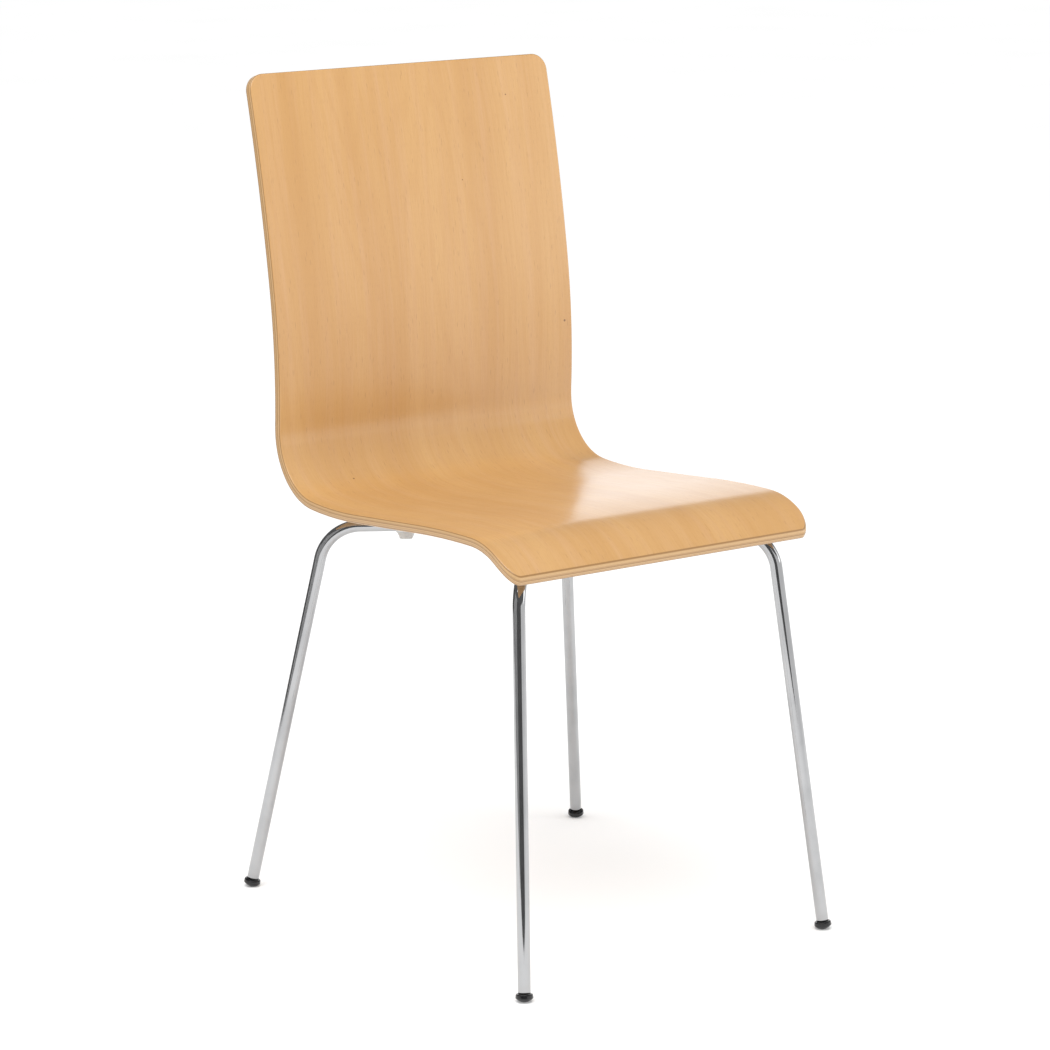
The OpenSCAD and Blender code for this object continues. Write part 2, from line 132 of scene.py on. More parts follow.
def rounding_of_row(row):
    """Radius of the rounded edge on the sitting side, which grows round the front corners."""
    from_front = LAST_ROW - row
    if from_front > CORNER_STEPS:
        return SIDE_ROUNDING
    share = math.cos(math.pi / 2 * from_front / CORNER_STEPS) ** 2
    return SIDE_ROUNDING + (FRONT_ROUNDING - SIDE_ROUNDING) * share


def shape_shell():
    """Both faces of the sheet as grids, with rings round the edge from one to the other."""
    columns = 26
    round_steps = 8
    flat_rim = 0.0008
    border = [(0, j) for j in range(columns + 1)]
    border += [(row, columns) for row in range(1, LAST_ROW + 1)]
    border += [(LAST_ROW, j) for j in range(columns - 1, -1, -1)]
    border += [(row, 0) for row in range(LAST_ROW - 1, 0, -1)]
    places = []
    faces = []

    def set_point(row, j, inset, depth):
        down, half_width = outline_row(row, inset)
        places.append(((2 * j / columns - 1) * half_width, down, depth))
        return len(places) - 1

    def set_face(rim_inset, depth):
        grid = [
            [set_point(row, j, rim_inset(row), depth) for j in range(columns + 1)]
            for row in range(LAST_ROW + 1)
        ]
        for row, after in zip(grid, grid[1:]):
            for j in range(columns):
                faces.append((row[j], row[j + 1], after[j + 1], after[j]))
        return [grid[row][j] for row, j in border]

    def join_rings(one, two):
        for k in range(len(one)):
            after = (k + 1) % len(one)
            faces.append((one[k], one[after], two[after], two[k]))

    previous = set_face(lambda row: rounding_of_row(row) + flat_rim, 0)
    for k in range(round_steps + 1):
        swing = math.pi / 2 * k / round_steps
        ring = []
        for row, j in border:
            radius = rounding_of_row(row)
            ring.append(set_point(row, j, radius * (1 - math.sin(swing)),
                                  radius * (1 - math.cos(swing))))
        join_rings(previous, ring)
        previous = ring
    for k in range(round_steps + 1):
        swing = math.pi / 2 * (1 - k / round_steps)
        inset = UNDERSIDE_ROUNDING * (1 - math.sin(swing))
        depth = SHEET_T - UNDERSIDE_ROUNDING * (1 - math.cos(swing))
        ring = [set_point(row, j, inset, depth) for row, j in border]
        join_rings(previous, ring)
        previous = ring
    join_rings(previous, set_face(lambda row: UNDERSIDE_ROUNDING + flat_rim, SHEET_T))
    return places, faces


def make_piece(name, points, faces, finish, slot, *nodes):
    """A smooth piece that rides on the chair and stands for some of the CAD nodes."""
    mesh = bpy.data.meshes.new(name)
    mesh.from_pydata([tuple(p) for p in points], [], faces)
    work = bmesh.new()
    work.from_mesh(mesh)
    bmesh.ops.recalc_face_normals(work, faces=work.faces)
    work.to_mesh(mesh)
    work.free()
    mesh.shade_smooth()
    mesh.materials.append(finish)
    piece = bpy.data.objects.new(name, mesh)
    bpy.context.scene.collection.objects.link(piece)
    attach(piece, "root")
    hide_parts(*nodes)
    return piece


def mark_places(piece, name, places):
    """Keeps a place for each point of the mesh, for its finish to follow."""
    marks = piece.data.attributes.new(name, "FLOAT_VECTOR", "POINT")
    marks.data.foreach_set("vector", np.array(places, np.float32).ravel())


def new_finish(name):
    """A material with an empty surface, and that surface's node."""
    finish = bpy.data.materials.new(name)
    finish.use_nodes = True
    return finish, finish.node_tree, finish.node_tree.nodes["Principled BSDF"]


def add(tree, kind, inputs, **settings):
    """A node of a finish, with its inputs set to values or joined to other nodes."""
    made = tree.nodes.new("ShaderNode" + kind)
    for name, value in settings.items():
        setattr(made, name, value)
    for name, value in inputs.items():
        if isinstance(value, bpy.types.NodeSocket):
            tree.links.new(value, made.inputs[name])
        else:
            made.inputs[name].default_value = value
    return made


def calc(tree, operation, a, b=0.0):
    """One sum on two numbers of a finish."""
    return add(tree, "Math", {0: a, 1: b}, operation=operation).outputs[0]


def marked(tree, name):
    """The places that were kept on the mesh under a name."""
    return add(tree, "Attribute", {}, attribute_name=name).outputs["Vector"]


def stretch(tree, place, scales):
    """A place with each of its axes scaled."""
    return add(tree, "VectorMath", {0: place, 1: scales}, operation="MULTIPLY").outputs[0]


def mottle(tree, place, scales, detail=2.0, roughness=0.5):
    """Cloudy variation from 0 to 1, finer along the axes with larger scales."""
    sockets = {
        "Vector": stretch(tree, place, scales),
        "Scale": 1.0,
        "Detail": detail,
        "Roughness": roughness,
    }
    return add(tree, "TexNoise", sockets).outputs[0]


def rise(tree, value, low, high, to_low=0.0, to_high=1.0):
    """Goes smoothly from to_low to to_high while the value goes from low to high."""
    sockets = {
        "Value": value,
        "From Min": low,
        "From Max": high,
        "To Min": to_low,
        "To Max": to_high,
    }
    return add(tree, "MapRange", sockets, interpolation_type="SMOOTHSTEP").outputs[0]


def tint(tree, share, a, b):
    """Colour a, with a share of colour b in it."""
    return add(tree, "Mix", {0: share, 6: a, 7: b}, data_type="RGBA").outputs[2]


def dent(tree, height, distance, strength):
    """Fine relief, from a height of 0 to 1 over a distance."""
    sockets = {"Height": height, "Distance": distance, "Strength": strength}
    return add(tree, "Bump", sockets).outputs[0]


def beech_ply_finish():
    """Steamed beech veneer along the sheet, the plies at its cut edges, and satin lacquer."""
    pale_beech = (0.590, 0.342, 0.132, 1)
    deep_beech = (0.500, 0.260, 0.080, 1)
    pink_beech = (0.590, 0.350, 0.190, 1)
    fleck_brown = (0.250, 0.115, 0.045, 1)
    knot_brown = (0.100, 0.035, 0.012, 1)
    long_grain = (0.620, 0.395, 0.185, 1)
    cross_grain = (0.500, 0.295, 0.125, 1)
    glue_brown = (0.260, 0.125, 0.030, 1)
    veneer_t = 0.0004
    # Pin knots of the face veneer: across the sheet, down the sheet and radius.
    pin_knots = [
        (0.1318, 0.0425, 0.0007),
        (0.1822, 0.2968, 0.0011),
        (-0.1187, 0.4441, 0.0009),
        (0.0610, 0.1310, 0.0006),
    ]
    # Depth of the middle of each glue line below the sitting face, and how dark it shows.
    glue_lines = [(0.0007, 0.75), (0.0021, 0.15), (0.0033, 0.25), (0.0044, 0.80),
                  (0.0059, 0.20), (0.0071, 0.20), (0.0081, 0.95)]
    glue_half_t = 0.00045

    finish, tree, surface = new_finish("lacquered_beech_ply")
    place = marked(tree, "sheet_place")
    drift = mottle(tree, place, (4, 3, 4), 1.0)
    wander = add(tree, "CombineXYZ", {"X": calc(tree, "MULTIPLY", drift, 0.012)}).outputs[0]
    grain_place = add(tree, "VectorMath", {0: place, 1: wander}, operation="ADD").outputs[0]

    bands = mottle(tree, grain_place, (17, 1.1, 9), 2.0, 0.6)
    strips = mottle(tree, grain_place, (85, 2.6, 60), 2.0)
    fibres = mottle(tree, grain_place, (950, 22, 500), 3.0, 0.65)
    pores = mottle(tree, grain_place, (2300, 130, 900), 1.0)
    rings = mottle(tree, grain_place, (11, 0.9, 4), 1.0, 0.4)
    ring_lines = calc(tree, "SINE", calc(tree, "MULTIPLY", rings, 150.0))
    cells = {"Vector": stretch(tree, grain_place, (560, 75, 300)), "Scale": 1.0}
    fleck_cells = add(tree, "TexVoronoi", cells)
    fleck_pick = add(tree, "SeparateColor", {0: fleck_cells.outputs["Color"]}).outputs[0]
    fleck = calc(
        tree, "MULTIPLY",
        rise(tree, fleck_cells.outputs["Distance"], 0.34, 0.12),
        rise(tree, fleck_pick, 0.72, 0.95),
    )

    veneer = tint(tree, rise(tree, bands, 0.30, 0.75, 0.0, 0.75), pale_beech, deep_beech)
    veneer = tint(tree, rise(tree, strips, 0.40, 0.80, 0.0, 0.4), veneer, pink_beech)
    veneer = tint(tree, rise(tree, fibres, 0.30, 0.75, 0.0, 0.34), veneer, deep_beech)
    veneer = tint(tree, rise(tree, ring_lines, 0.2, 1.0, 0.0, 0.16), veneer, deep_beech)
    veneer = tint(tree, rise(tree, pores, 0.55, 0.80, 0.0, 0.20), veneer, fleck_brown)
    veneer = tint(tree, calc(tree, "MULTIPLY", fleck, 0.30), veneer, fleck_brown)
    flat_place = stretch(tree, place, (1, 1, 0))
    for across, down, radius in pin_knots:
        ends = {0: flat_place, 1: (across, down, 0)}
        away = add(tree, "VectorMath", ends, operation="DISTANCE").outputs["Value"]
        spot = rise(tree, away, radius * 1.6, radius * 0.6, 0.0, 0.8)
        veneer = tint(tree, spot, veneer, knot_brown)

    depth = add(tree, "SeparateXYZ", {0: place}).outputs["Z"]
    ply_turns = calc(tree, "SINE", calc(tree, "MULTIPLY", depth, 2 * math.pi / 0.0028))
    end_fibres = mottle(tree, place, (700, 700, 2600), 3.0, 0.7)
    core = tint(tree, rise(tree, ply_turns, -0.5, 0.5), long_grain, cross_grain)
    core = tint(tree, rise(tree, end_fibres, 0.35, 0.8, 0.0, 0.4), core, cross_grain)
    for middle, darkness in glue_lines:
        away = calc(tree, "ABSOLUTE", calc(tree, "SUBTRACT", depth, middle))
        line = rise(tree, away, glue_half_t * 1.5, glue_half_t * 0.4, 0.0, darkness)
        core = tint(tree, line, core, glue_brown)
    below_face = rise(tree, depth, veneer_t - 0.0001, veneer_t + 0.0001)
    above_back = rise(tree, depth, SHEET_T - veneer_t + 0.0001, SHEET_T - veneer_t - 0.0001)
    at_edge = calc(tree, "MULTIPLY", below_face, above_back)
    colour = tint(tree, at_edge, veneer, core)
    tree.links.new(colour, surface.inputs["Base Color"])

    sanding = mottle(tree, place, (14, 9, 14), 3.0)
    rough = calc(tree, "ADD", rise(tree, fibres, 0.2, 0.8, 0.42, 0.54),
                 rise(tree, sanding, 0.3, 0.7, -0.03, 0.03))
    tree.links.new(rough, surface.inputs["Roughness"])
    relief = calc(tree, "ADD", calc(tree, "MULTIPLY", fibres, 0.6),
                  calc(tree, "MULTIPLY", fleck, -0.5))
    tree.links.new(dent(tree, relief, 0.00012, 0.5), surface.inputs["Normal"])
    press_waves = mottle(tree, place, (24, 7, 24), 1.0)
    film = calc(tree, "ADD", press_waves, calc(tree, "MULTIPLY", fibres, 0.035))
    tree.links.new(dent(tree, film, 0.0004, 0.35), surface.inputs["Coat Normal"])
    surface.inputs["Coat Weight"].default_value = 1.0
    surface.inputs["Coat Roughness"].default_value = 0.23
    surface.inputs["Coat IOR"].default_value = 1.5
    surface.inputs["IOR"].default_value = 1.45
    return finish


sheet_places, sheet_faces = shape_shell()
sheet_points = [on_sheet(*place) for place in sheet_places]
shell = make_piece("shell_beech_ply", sheet_points, sheet_faces, beech_ply_finish(),
                   "plywood", "seat_shell")
mark_places(shell, "sheet_place", sheet_places)

# ---- Threaded inserts ----------------------------------------------------------------------
# Four zinc-plated steel sleeves with a flange, let into the underside of the shell.
# They are screwed and glued in, and take the bolts that hold the frame.
HARDWARE = [
    f"{end}_{side}" for end in ("front", "rear") for side in ("right", "left")
]


def zinc_finish(name, colour, dull_colour, turned):
    """Zinc-plated steel, with fine turning marks where it was cut on a lathe."""
    finish, tree, surface = new_finish(name)
    if turned:
        marks = mottle(tree, marked(tree, "turned_place"), (3, 5200, 5200), 2.0, 0.7)
    else:
        around = add(tree, "TexCoord", {}).outputs["Object"]
        marks = mottle(tree, around, (900, 900, 4200), 2.0, 0.7)
    patches = mottle(tree, add(tree, "TexCoord", {}).outputs["Object"], (330, 330, 330), 3.0)
    plating = tint(tree, rise(tree, patches, 0.35, 0.7), colour, dull_colour)
    plating = tint(tree, rise(tree, marks, 0.4, 0.8, 0.0, 0.25), plating, dull_colour)
    tree.links.new(plating, surface.inputs["Base Color"])
    rough = calc(tree, "ADD", rise(tree, patches, 0.3, 0.8, 0.22, 0.42),
                 rise(tree, marks, 0.3, 0.8, 0.0, 0.10))
    tree.links.new(rough, surface.inputs["Roughness"])
    tree.links.new(dent(tree, marks, 0.00003, 0.6), surface.inputs["Normal"])
    surface.inputs["Metallic"].default_value = 1.0
    return finish


insert_zinc = zinc_finish("yellow_zinc", (0.62, 0.50, 0.27, 1), (0.42, 0.34, 0.20, 1), False)
for spot in HARDWARE:
    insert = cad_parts["insert_" + spot]
    insert.data.materials[0] = insert_zinc

# ---- Spacers -------------------------------------------------------------------------------
# Four black moulded plastic bushes between the mounting plates and the seat.
# They keep the frame clear of the curved sheet, and the bolts run through them.
SPACER_R = 0.012
SPACER_H = 0.012
BOLT_HOLE_R = 0.0033
SEAT_SLOPE = math.radians(5.2)
# Square to the underside of the flat stretch of the seat, and pointing up.
seat_up = Vector((0, math.sin(SEAT_SLOPE), math.cos(SEAT_SLOPE)))


def middle_of(node):
    """Middle of the box round a CAD node."""
    low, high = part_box(node)
    return (low + high) / 2


def rounded(corners, closed=True, steps=4):
    """Corners as (radius, height, easing), with each eased corner drawn as an arc."""
    outline = []
    count = len(corners)
    for k, (radius, height, easing) in enumerate(corners):
        here = Vector((radius, height))
        if easing == 0 or (not closed and k in (0, count - 1)):
            outline.append(tuple(here))
            continue
        before = Vector(corners[k - 1][:2])
        after = Vector(corners[(k + 1) % count][:2])
        way_in = (here - before).normalized()
        way_out = (after - here).normalized()
        turn = way_in.angle(way_out)
        reach = easing * math.tan(turn / 2)
        start = here - way_in * reach
        hub = start + (way_out - way_in * way_in.dot(way_out)).normalized() * easing
        spoke = start - hub
        sense = 1 if way_in.x * way_out.y - way_in.y * way_out.x > 0 else -1
        for step in range(steps + 1):
            swing = Matrix.Rotation(sense * turn * step / steps, 2)
            outline.append(tuple(hub + swing @ spoke))
    return outline


def axis_frame(place, way):
    """Matrix that sets +Z along way, with its origin at place."""
    return Matrix.Translation(place) @ way.to_track_quat("Z", "Y").to_matrix().to_4x4()


def turn_on_lathe(outline, place, way, sides=64, closed=True, six_sided=()):
    """Turns (radius, height) points about way. Rings listed in six_sided are hexagons."""
    to_chair = axis_frame(place, way)
    points = []
    turned = []
    rings = []
    for index, (radius, height) in enumerate(outline):
        count = sides if radius > 0 else 1
        ring = []
        for k in range(count):
            angle = 2 * math.pi * k / sides
            reach = radius
            if index in six_sided:
                sixth = math.pi / 3
                reach = radius / math.cos((angle % sixth) - sixth / 2)
            spot = Vector((reach * math.cos(angle), reach * math.sin(angle), height))
            points.append(to_chair @ spot)
            turned.append((angle / (2 * math.pi), reach, height))
            ring.append(len(points) - 1)
        rings.append(ring)
    faces = []
    pairs = list(zip(rings, rings[1:]))
    if closed:
        pairs.append((rings[-1], rings[0]))
    for one, two in pairs:
        for k in range(sides):
            after = (k + 1) % sides
            if len(one) == 1:
                faces.append((one[0], two[k], two[after]))
            elif len(two) == 1:
                faces.append((one[k], two[0], one[after]))
            else:
                faces.append((one[k], two[k], two[after], one[after]))
    return points, faces, turned


def flatten_shading(piece):
    """Keeps flat faces flat beside their small eased edges."""
    weights = piece.modifiers.new("flat_faces", "WEIGHTED_NORMAL")
    weights.weight = 100
    weights.keep_sharp = True


def turned_piece(name, turned_shape, finish, slot, *nodes):
    """A piece from the lathe, which keeps where each point was turned for its finish."""
    points, faces, turned = turned_shape
    piece = make_piece(name, points, faces, finish, slot, *nodes)
    mark_places(piece, "turned_place", turned)
    flatten_shading(piece)


def black_plastic_finish():
    """Matt black nylon with the fine grain of its mould."""
    finish, tree, surface = new_finish("black_nylon")
    place = add(tree, "TexCoord", {}).outputs["Object"]
    cloud = mottle(tree, place, (160, 160, 160), 3.0)
    grain = mottle(tree, place, (2400, 2400, 2400), 2.0)
    black = tint(tree, rise(tree, cloud, 0.3, 0.7), (0.012, 0.012, 0.014, 1),
                 (0.024, 0.024, 0.026, 1))
    tree.links.new(black, surface.inputs["Base Color"])
    tree.links.new(rise(tree, cloud, 0.3, 0.8, 0.42, 0.58), surface.inputs["Roughness"])
    tree.links.new(dent(tree, grain, 0.00004, 0.6), surface.inputs["Normal"])
    return finish


SPACER_EASE = 0.0009
HOLE_EASE = 0.0003
# A fine ridge stands round the middle, where the two halves of the mould met.
MOULD_RIDGE = 0.00012
MOULD_RIDGE_HALF_W = 0.0003
spacer_outline = rounded([
    (BOLT_HOLE_R, -SPACER_H / 2, HOLE_EASE),
    (SPACER_R, -SPACER_H / 2, SPACER_EASE),
    (SPACER_R, -MOULD_RIDGE_HALF_W, 0),
    (SPACER_R + MOULD_RIDGE, 0, 0),
    (SPACER_R, MOULD_RIDGE_HALF_W, 0),
    (SPACER_R, SPACER_H / 2, SPACER_EASE),
    (BOLT_HOLE_R, SPACER_H / 2, HOLE_EASE),
])
black_nylon = black_plastic_finish()
for spot in HARDWARE:
    shape = turn_on_lathe(spacer_outline, middle_of("spacer_" + spot), seat_up)
    turned_piece("spacer_bush_" + spot, shape, black_nylon, "spacer_plastic",
                 "spacer_" + spot)

# ---- Mounting plates -----------------------------------------------------------------------
# Two steel plates across the chair, pressed from 3 mm strip with round corners and bolt holes.
# Both frame tubes are welded under them before the whole frame is chromed.
PLATE_T = 0.003
PLATE_D = 0.034
PLATE_CORNER_R = 0.008
PLATE_EDGE = 0.0004
TUBE_R = 0.0065
TUBE_FROM_MIDDLE = 0.045
plate_low, plate_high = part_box("mounting_plate_front")
HALF_PLATE_W = (plate_high.x - plate_low.x) / 2


def pressed_plate(end):
    """Points and faces of one plate, with rounded corners, eased edges and two holes."""
    outline = bpy.data.curves.new("plate_outline", "CURVE")
    outline.dimensions = "2D"
    outline.fill_mode = "BOTH"
    outline.extrude = PLATE_T / 2 - PLATE_EDGE
    outline.bevel_depth = PLATE_EDGE
    outline.bevel_resolution = 2
    outline.offset = -PLATE_EDGE
    loops = [rounded([
        (-HALF_PLATE_W, -PLATE_D / 2, PLATE_CORNER_R),
        (HALF_PLATE_W, -PLATE_D / 2, PLATE_CORNER_R),
        (HALF_PLATE_W, PLATE_D / 2, PLATE_CORNER_R),
        (-HALF_PLATE_W, PLATE_D / 2, PLATE_CORNER_R),
    ], steps=10)]
    hole_sides = 40
    for side in ("right", "left"):
        across = middle_of(f"spacer_{end}_{side}").x
        loops.append([
            (across + BOLT_HOLE_R * math.sin(2 * math.pi * k / hole_sides),
             BOLT_HOLE_R * math.cos(2 * math.pi * k / hole_sides))
            for k in range(hole_sides)
        ])
    for loop in loops:
        line = outline.splines.new("POLY")
        line.points.add(len(loop) - 1)
        for point, (x, y) in zip(line.points, loop):
            point.co = (x, y, 0, 1)
        line.use_cyclic_u = True
    holder = bpy.data.objects.new("plate_outline", outline)
    flat = bpy.data.meshes.new_from_object(holder)
    work = bmesh.new()
    work.from_mesh(flat)
    bmesh.ops.remove_doubles(work, verts=work.verts, dist=0.000002)
    points = [vertex.co.copy() for vertex in work.verts]
    faces = [[vertex.index for vertex in face.verts] for face in work.faces]
    work.free()
    bpy.data.objects.remove(holder)
    bpy.data.meshes.remove(flat)
    bpy.data.curves.remove(outline)
    return points, faces


def weld_bead(across, flank):
    """A rippled fillet under the plate, along one flank of a tube."""
    bead_end_gap = 0.0008
    half_length = PLATE_D / 2 - bead_end_gap
    ripples = 15
    steps = ripples * 6
    reach = math.radians(68)
    tube_top = -PLATE_T / 2
    bead_reach = 0.0016
    bead_sink = 0.0004
    bead_hump = 0.00035
    ripple_h = 0.00022
    foot = Vector((TUBE_R + bead_reach, tube_top))
    toe = Vector((TUBE_R * math.sin(reach), tube_top - TUBE_R * (1 - math.cos(reach))))
    root = Vector((TUBE_R * 0.45, tube_top + bead_sink))
    outward = Vector((0.62, -0.78))
    bead_steps = 6
    points = []
    faces = []
    for i in range(steps + 1):
        along = i / steps
        fade = min(1.0, 10 * min(along, 1 - along)) ** 0.5
        ripple = ripple_h * math.sin(2 * math.pi * ripples * along)
        section = [root]
        for k in range(bead_steps + 1):
            share = k / bead_steps
            hump = math.sin(math.pi * share)
            edge = foot.lerp(toe, share) + outward * hump * (bead_hump + ripple)
            section.append(root.lerp(edge, 0.55 + 0.45 * fade))
        for spot in section:
            points.append(Vector((across + flank * spot.x,
                                  (2 * along - 1) * half_length, spot.y)))
    count = bead_steps + 2
    for i in range(steps):
        for k in range(count):
            after = (k + 1) % count
            faces.append((i * count + k, i * count + after,
                          (i + 1) * count + after, (i + 1) * count + k))
    faces.append(tuple(range(count)))
    faces.append(tuple(steps * count + k for k in range(count)))
    return points, faces


def chrome_finish(name, brightest, dullest, smooth, rubbed, place_name=None):
    """Bright nickel and chrome plating, with faint polishing lines and finger haze."""
    finish, tree, surface = new_finish(name)
    chair_place = add(tree, "TexCoord", {}).outputs["Object"]
    haze = mottle(tree, chair_place, (38, 38, 23), 3.0, 0.6)
    if place_name:
        polish = mottle(tree, marked(tree, place_name), (1, 6, 1), 3.0, 0.7)
    else:
        polish = mottle(tree, chair_place, (180, 2600, 2600), 2.0, 0.7)
    colour = tint(tree, rise(tree, haze, 0.35, 0.75), brightest, dullest)
    tree.links.new(colour, surface.inputs["Base Color"])
    rough = calc(tree, "ADD", rise(tree, haze, 0.35, 0.8, smooth, rubbed),
                 rise(tree, polish, 0.4, 0.8, 0.0, 0.015))
    tree.links.new(rough, surface.inputs["Roughness"])
    tree.links.new(dent(tree, polish, 0.00001, 0.25), surface.inputs["Normal"])
    surface.inputs["Metallic"].default_value = 1.0
    return finish


plate_chrome = chrome_finish("chromed_plate_steel", (0.60, 0.60, 0.61, 1),
                             (0.50, 0.50, 0.51, 1), 0.12, 0.24)
for end in ("front", "rear"):
    under_spacers = (middle_of(f"spacer_{end}_right") + middle_of(f"spacer_{end}_left")) / 2
    plate_place = under_spacers - seat_up * (SPACER_H + PLATE_T) / 2
    to_seat = Matrix.Translation(plate_place) @ Matrix.Rotation(-SEAT_SLOPE, 4, "X")
    points, faces = pressed_plate(end)
    for side in (-1, 1):
        for flank in (-1, 1):
            bead_points, bead_faces = weld_bead(side * TUBE_FROM_MIDDLE, flank)
            base = len(points)
            points += bead_points
            faces += [tuple(base + k for k in face) for face in bead_faces]
    plate = make_piece(f"welded_plate_{end}", [to_seat @ point for point in points], faces,
                       plate_chrome, "chromed_plate", f"mounting_plate_{end}")
    flatten_shading(plate)

# ---- Frame tubes ---------------------------------------------------------------------------
# Two round steel tubes, 13 mm across, each cold bent at four corners into two legs, two arms
# and the middle run that is welded under the plates. Polished, then nickel and chrome plated.
TUBE_WALL = 0.0015
TUBE_BEND_R = 0.046
# Where the middle lines of the straight lengths meet on the sitter's left, in metres.
LEFT_CORNERS = {
    "rear_end": Vector((0.218776, 0.223373, 0.007815)),
    "rear_leg": Vector((0.156579, 0.162595, 0.405001)),
    "rear_run": Vector((0.045000, 0.068635, 0.410001)),
    "front_run": Vector((0.045000, -0.090607, 0.424493)),
    "front_leg": Vector((0.161337, -0.194546, 0.424493)),
    "front_end": Vector((0.193391, -0.249390, 0.007909)),
}


def corner(side, name):
    """One corner of a tube's middle line, with the right side a mirror of the left."""
    place = LEFT_CORNERS[name].copy()
    if side == "right":
        place.x = -place.x
    return place


def bent_line(corners, radius):
    """Points down the middle of a bent bar, close together round each bend."""
    degrees_apart = 2.5
    run_out = 0.004
    longest = 0.012
    line = [corners[0]]
    for before, here, after in zip(corners, corners[1:], corners[2:]):
        way_in = (here - before).normalized()
        way_out = (after - here).normalized()
        turn = way_in.angle(way_out)
        reach = radius * math.tan(turn / 2)
        inward = (way_out - way_in * way_in.dot(way_out)).normalized()
        start = here - way_in * reach
        hub = start + inward * radius
        steps = math.ceil(math.degrees(turn) / degrees_apart)
        line.append(start - way_in * run_out)
        for k in range(steps + 1):
            swing = turn * k / steps
            line.append(hub - inward * radius * math.cos(swing)
                        + way_in * radius * math.sin(swing))
        line.append(here + way_out * (reach + run_out))
    line.append(corners[-1])
    spaced = [line[0]]
    for one, two in zip(line, line[1:]):
        parts = max(1, math.ceil((two - one).length / longest))
        spaced += [one.lerp(two, k / parts) for k in range(1, parts + 1)]
    return spaced


def tube_shape(line, outer, inner):
    """A hollow tube along a line, with its ends closed between the two walls and eased."""
    sides = 48
    ways = []
    for k in range(len(line)):
        ways.append((line[min(k + 1, len(line) - 1)] - line[max(k - 1, 0)]).normalized())
    across = ways[0].cross(Vector((0, 1, 0))).normalized()
    ease = 0.0003
    stations = []
    travelled = 0.0
    for k, way in enumerate(ways):
        if k:
            across = (across - way * across.dot(way)).normalized()
            travelled += (line[k] - line[k - 1]).length
        stations.append((line[k], way, across, travelled))
    loops = [(station, outer) for station in stations]
    first, last = stations[0], stations[-1]
    slid_first = (first[0] + first[1] * ease, *first[1:])
    slid_last = (last[0] - last[1] * ease, *last[1:])
    loops[0] = (first, outer - ease)
    loops.insert(1, (slid_first, outer))
    loops[-1] = (slid_last, outer)
    loops.append((last, outer - ease))
    loops.append((last, inner))
    loops += [(station, inner) for station in reversed(stations[1:-1])]
    loops.append((first, inner))
    points = []
    places = []
    for (middle, way, side_way, distance), radius in loops:
        other_way = way.cross(side_way)
        for k in range(sides):
            angle = 2 * math.pi * k / sides
            points.append(middle + radius * (side_way * math.cos(angle)
                                             + other_way * math.sin(angle)))
            places.append((math.cos(angle), distance, math.sin(angle)))
    faces = []
    for i in range(len(loops)):
        j = (i + 1) % len(loops)
        for k in range(sides):
            after = (k + 1) % sides
            faces.append((i * sides + k, i * sides + after, j * sides + after, j * sides + k))
    return points, faces, places


tube_chrome = chrome_finish("bright_chrome_tube", (0.455, 0.458, 0.465, 1),
                            (0.400, 0.403, 0.410, 1), 0.035, 0.085, "tube_place")
for side in ("right", "left"):
    corners = [corner(side, name) for name in LEFT_CORNERS]
    line = bent_line(corners, TUBE_BEND_R)
    points, faces, places = tube_shape(line, TUBE_R, TUBE_R - TUBE_WALL)
    tube = make_piece(f"bent_tube_{side}", points, faces, tube_chrome, "chromed_tube",
                      f"frame_tube_{side}")
    mark_places(tube, "tube_place", places)
    tube.data.set_sharp_from_angle(angle=math.radians(50))

# ---- Washers and bolts ---------------------------------------------------------------------
# Button-head steel bolts with a hexagon socket, each on a plain washer, zinc plated.
# They go up through plate and spacer into the inserts, and are driven with a hexagon key.
WASHER_R = 0.00625
WASHER_T = 0.0015
BOLT_R = 0.003
BOLT_HEAD_R = 0.0055
BOLT_HEAD_H = 0.0033
BOLT_IN_INSERT = 0.006
BOLT_LENGTH = WASHER_T + PLATE_T + SPACER_H + BOLT_IN_INSERT
SOCKET_HALF_FLATS = 0.002
SOCKET_DEPTH = 0.002
SOCKET_TIP = 0.0004
SOCKET_EDGE_W = 0.00012
SOCKET_EDGE_H = 0.00015
BOLT_SIDES = 48

# The punched edge that faces down is the rounder one.
WASHER_HOLE_EASE = 0.0001
WASHER_LOWER_EASE = 0.00035
WASHER_UPPER_EASE = 0.00015
washer_outline = rounded([
    (BOLT_HOLE_R, -WASHER_T / 2, WASHER_HOLE_EASE),
    (WASHER_R, -WASHER_T / 2, WASHER_LOWER_EASE),
    (WASHER_R, WASHER_T / 2, WASHER_UPPER_EASE),
    (BOLT_HOLE_R, WASHER_T / 2, WASHER_HOLE_EASE),
])
HEAD_FLAT_SHARE = 0.60
HEAD_RIM_SHARE = 0.12
HEAD_STEPS = 8
HEAD_EASE = 0.0001
SHANK_FILLET = 0.0002
TIP_CHAMFER = 0.0006
# From the bottom of the socket, out over the domed head, and up the shank to its tip.
bolt_outline = [
    (0, -BOLT_HEAD_H + SOCKET_DEPTH + SOCKET_TIP),
    (SOCKET_HALF_FLATS, -BOLT_HEAD_H + SOCKET_DEPTH),
    (SOCKET_HALF_FLATS, -BOLT_HEAD_H + SOCKET_EDGE_H),
    (SOCKET_HALF_FLATS + SOCKET_EDGE_W, -BOLT_HEAD_H),
    (BOLT_HEAD_R * HEAD_FLAT_SHARE, -BOLT_HEAD_H),
]
SOCKET_RINGS = (1, 2, 3)
for k in range(1, HEAD_STEPS + 1):
    swing = math.radians(90 * k / HEAD_STEPS)
    out = HEAD_FLAT_SHARE + (1 - HEAD_FLAT_SHARE) * math.sin(swing)
    below = HEAD_RIM_SHARE + (1 - HEAD_RIM_SHARE) * math.cos(swing)
    bolt_outline.append((BOLT_HEAD_R * out, -BOLT_HEAD_H * below))
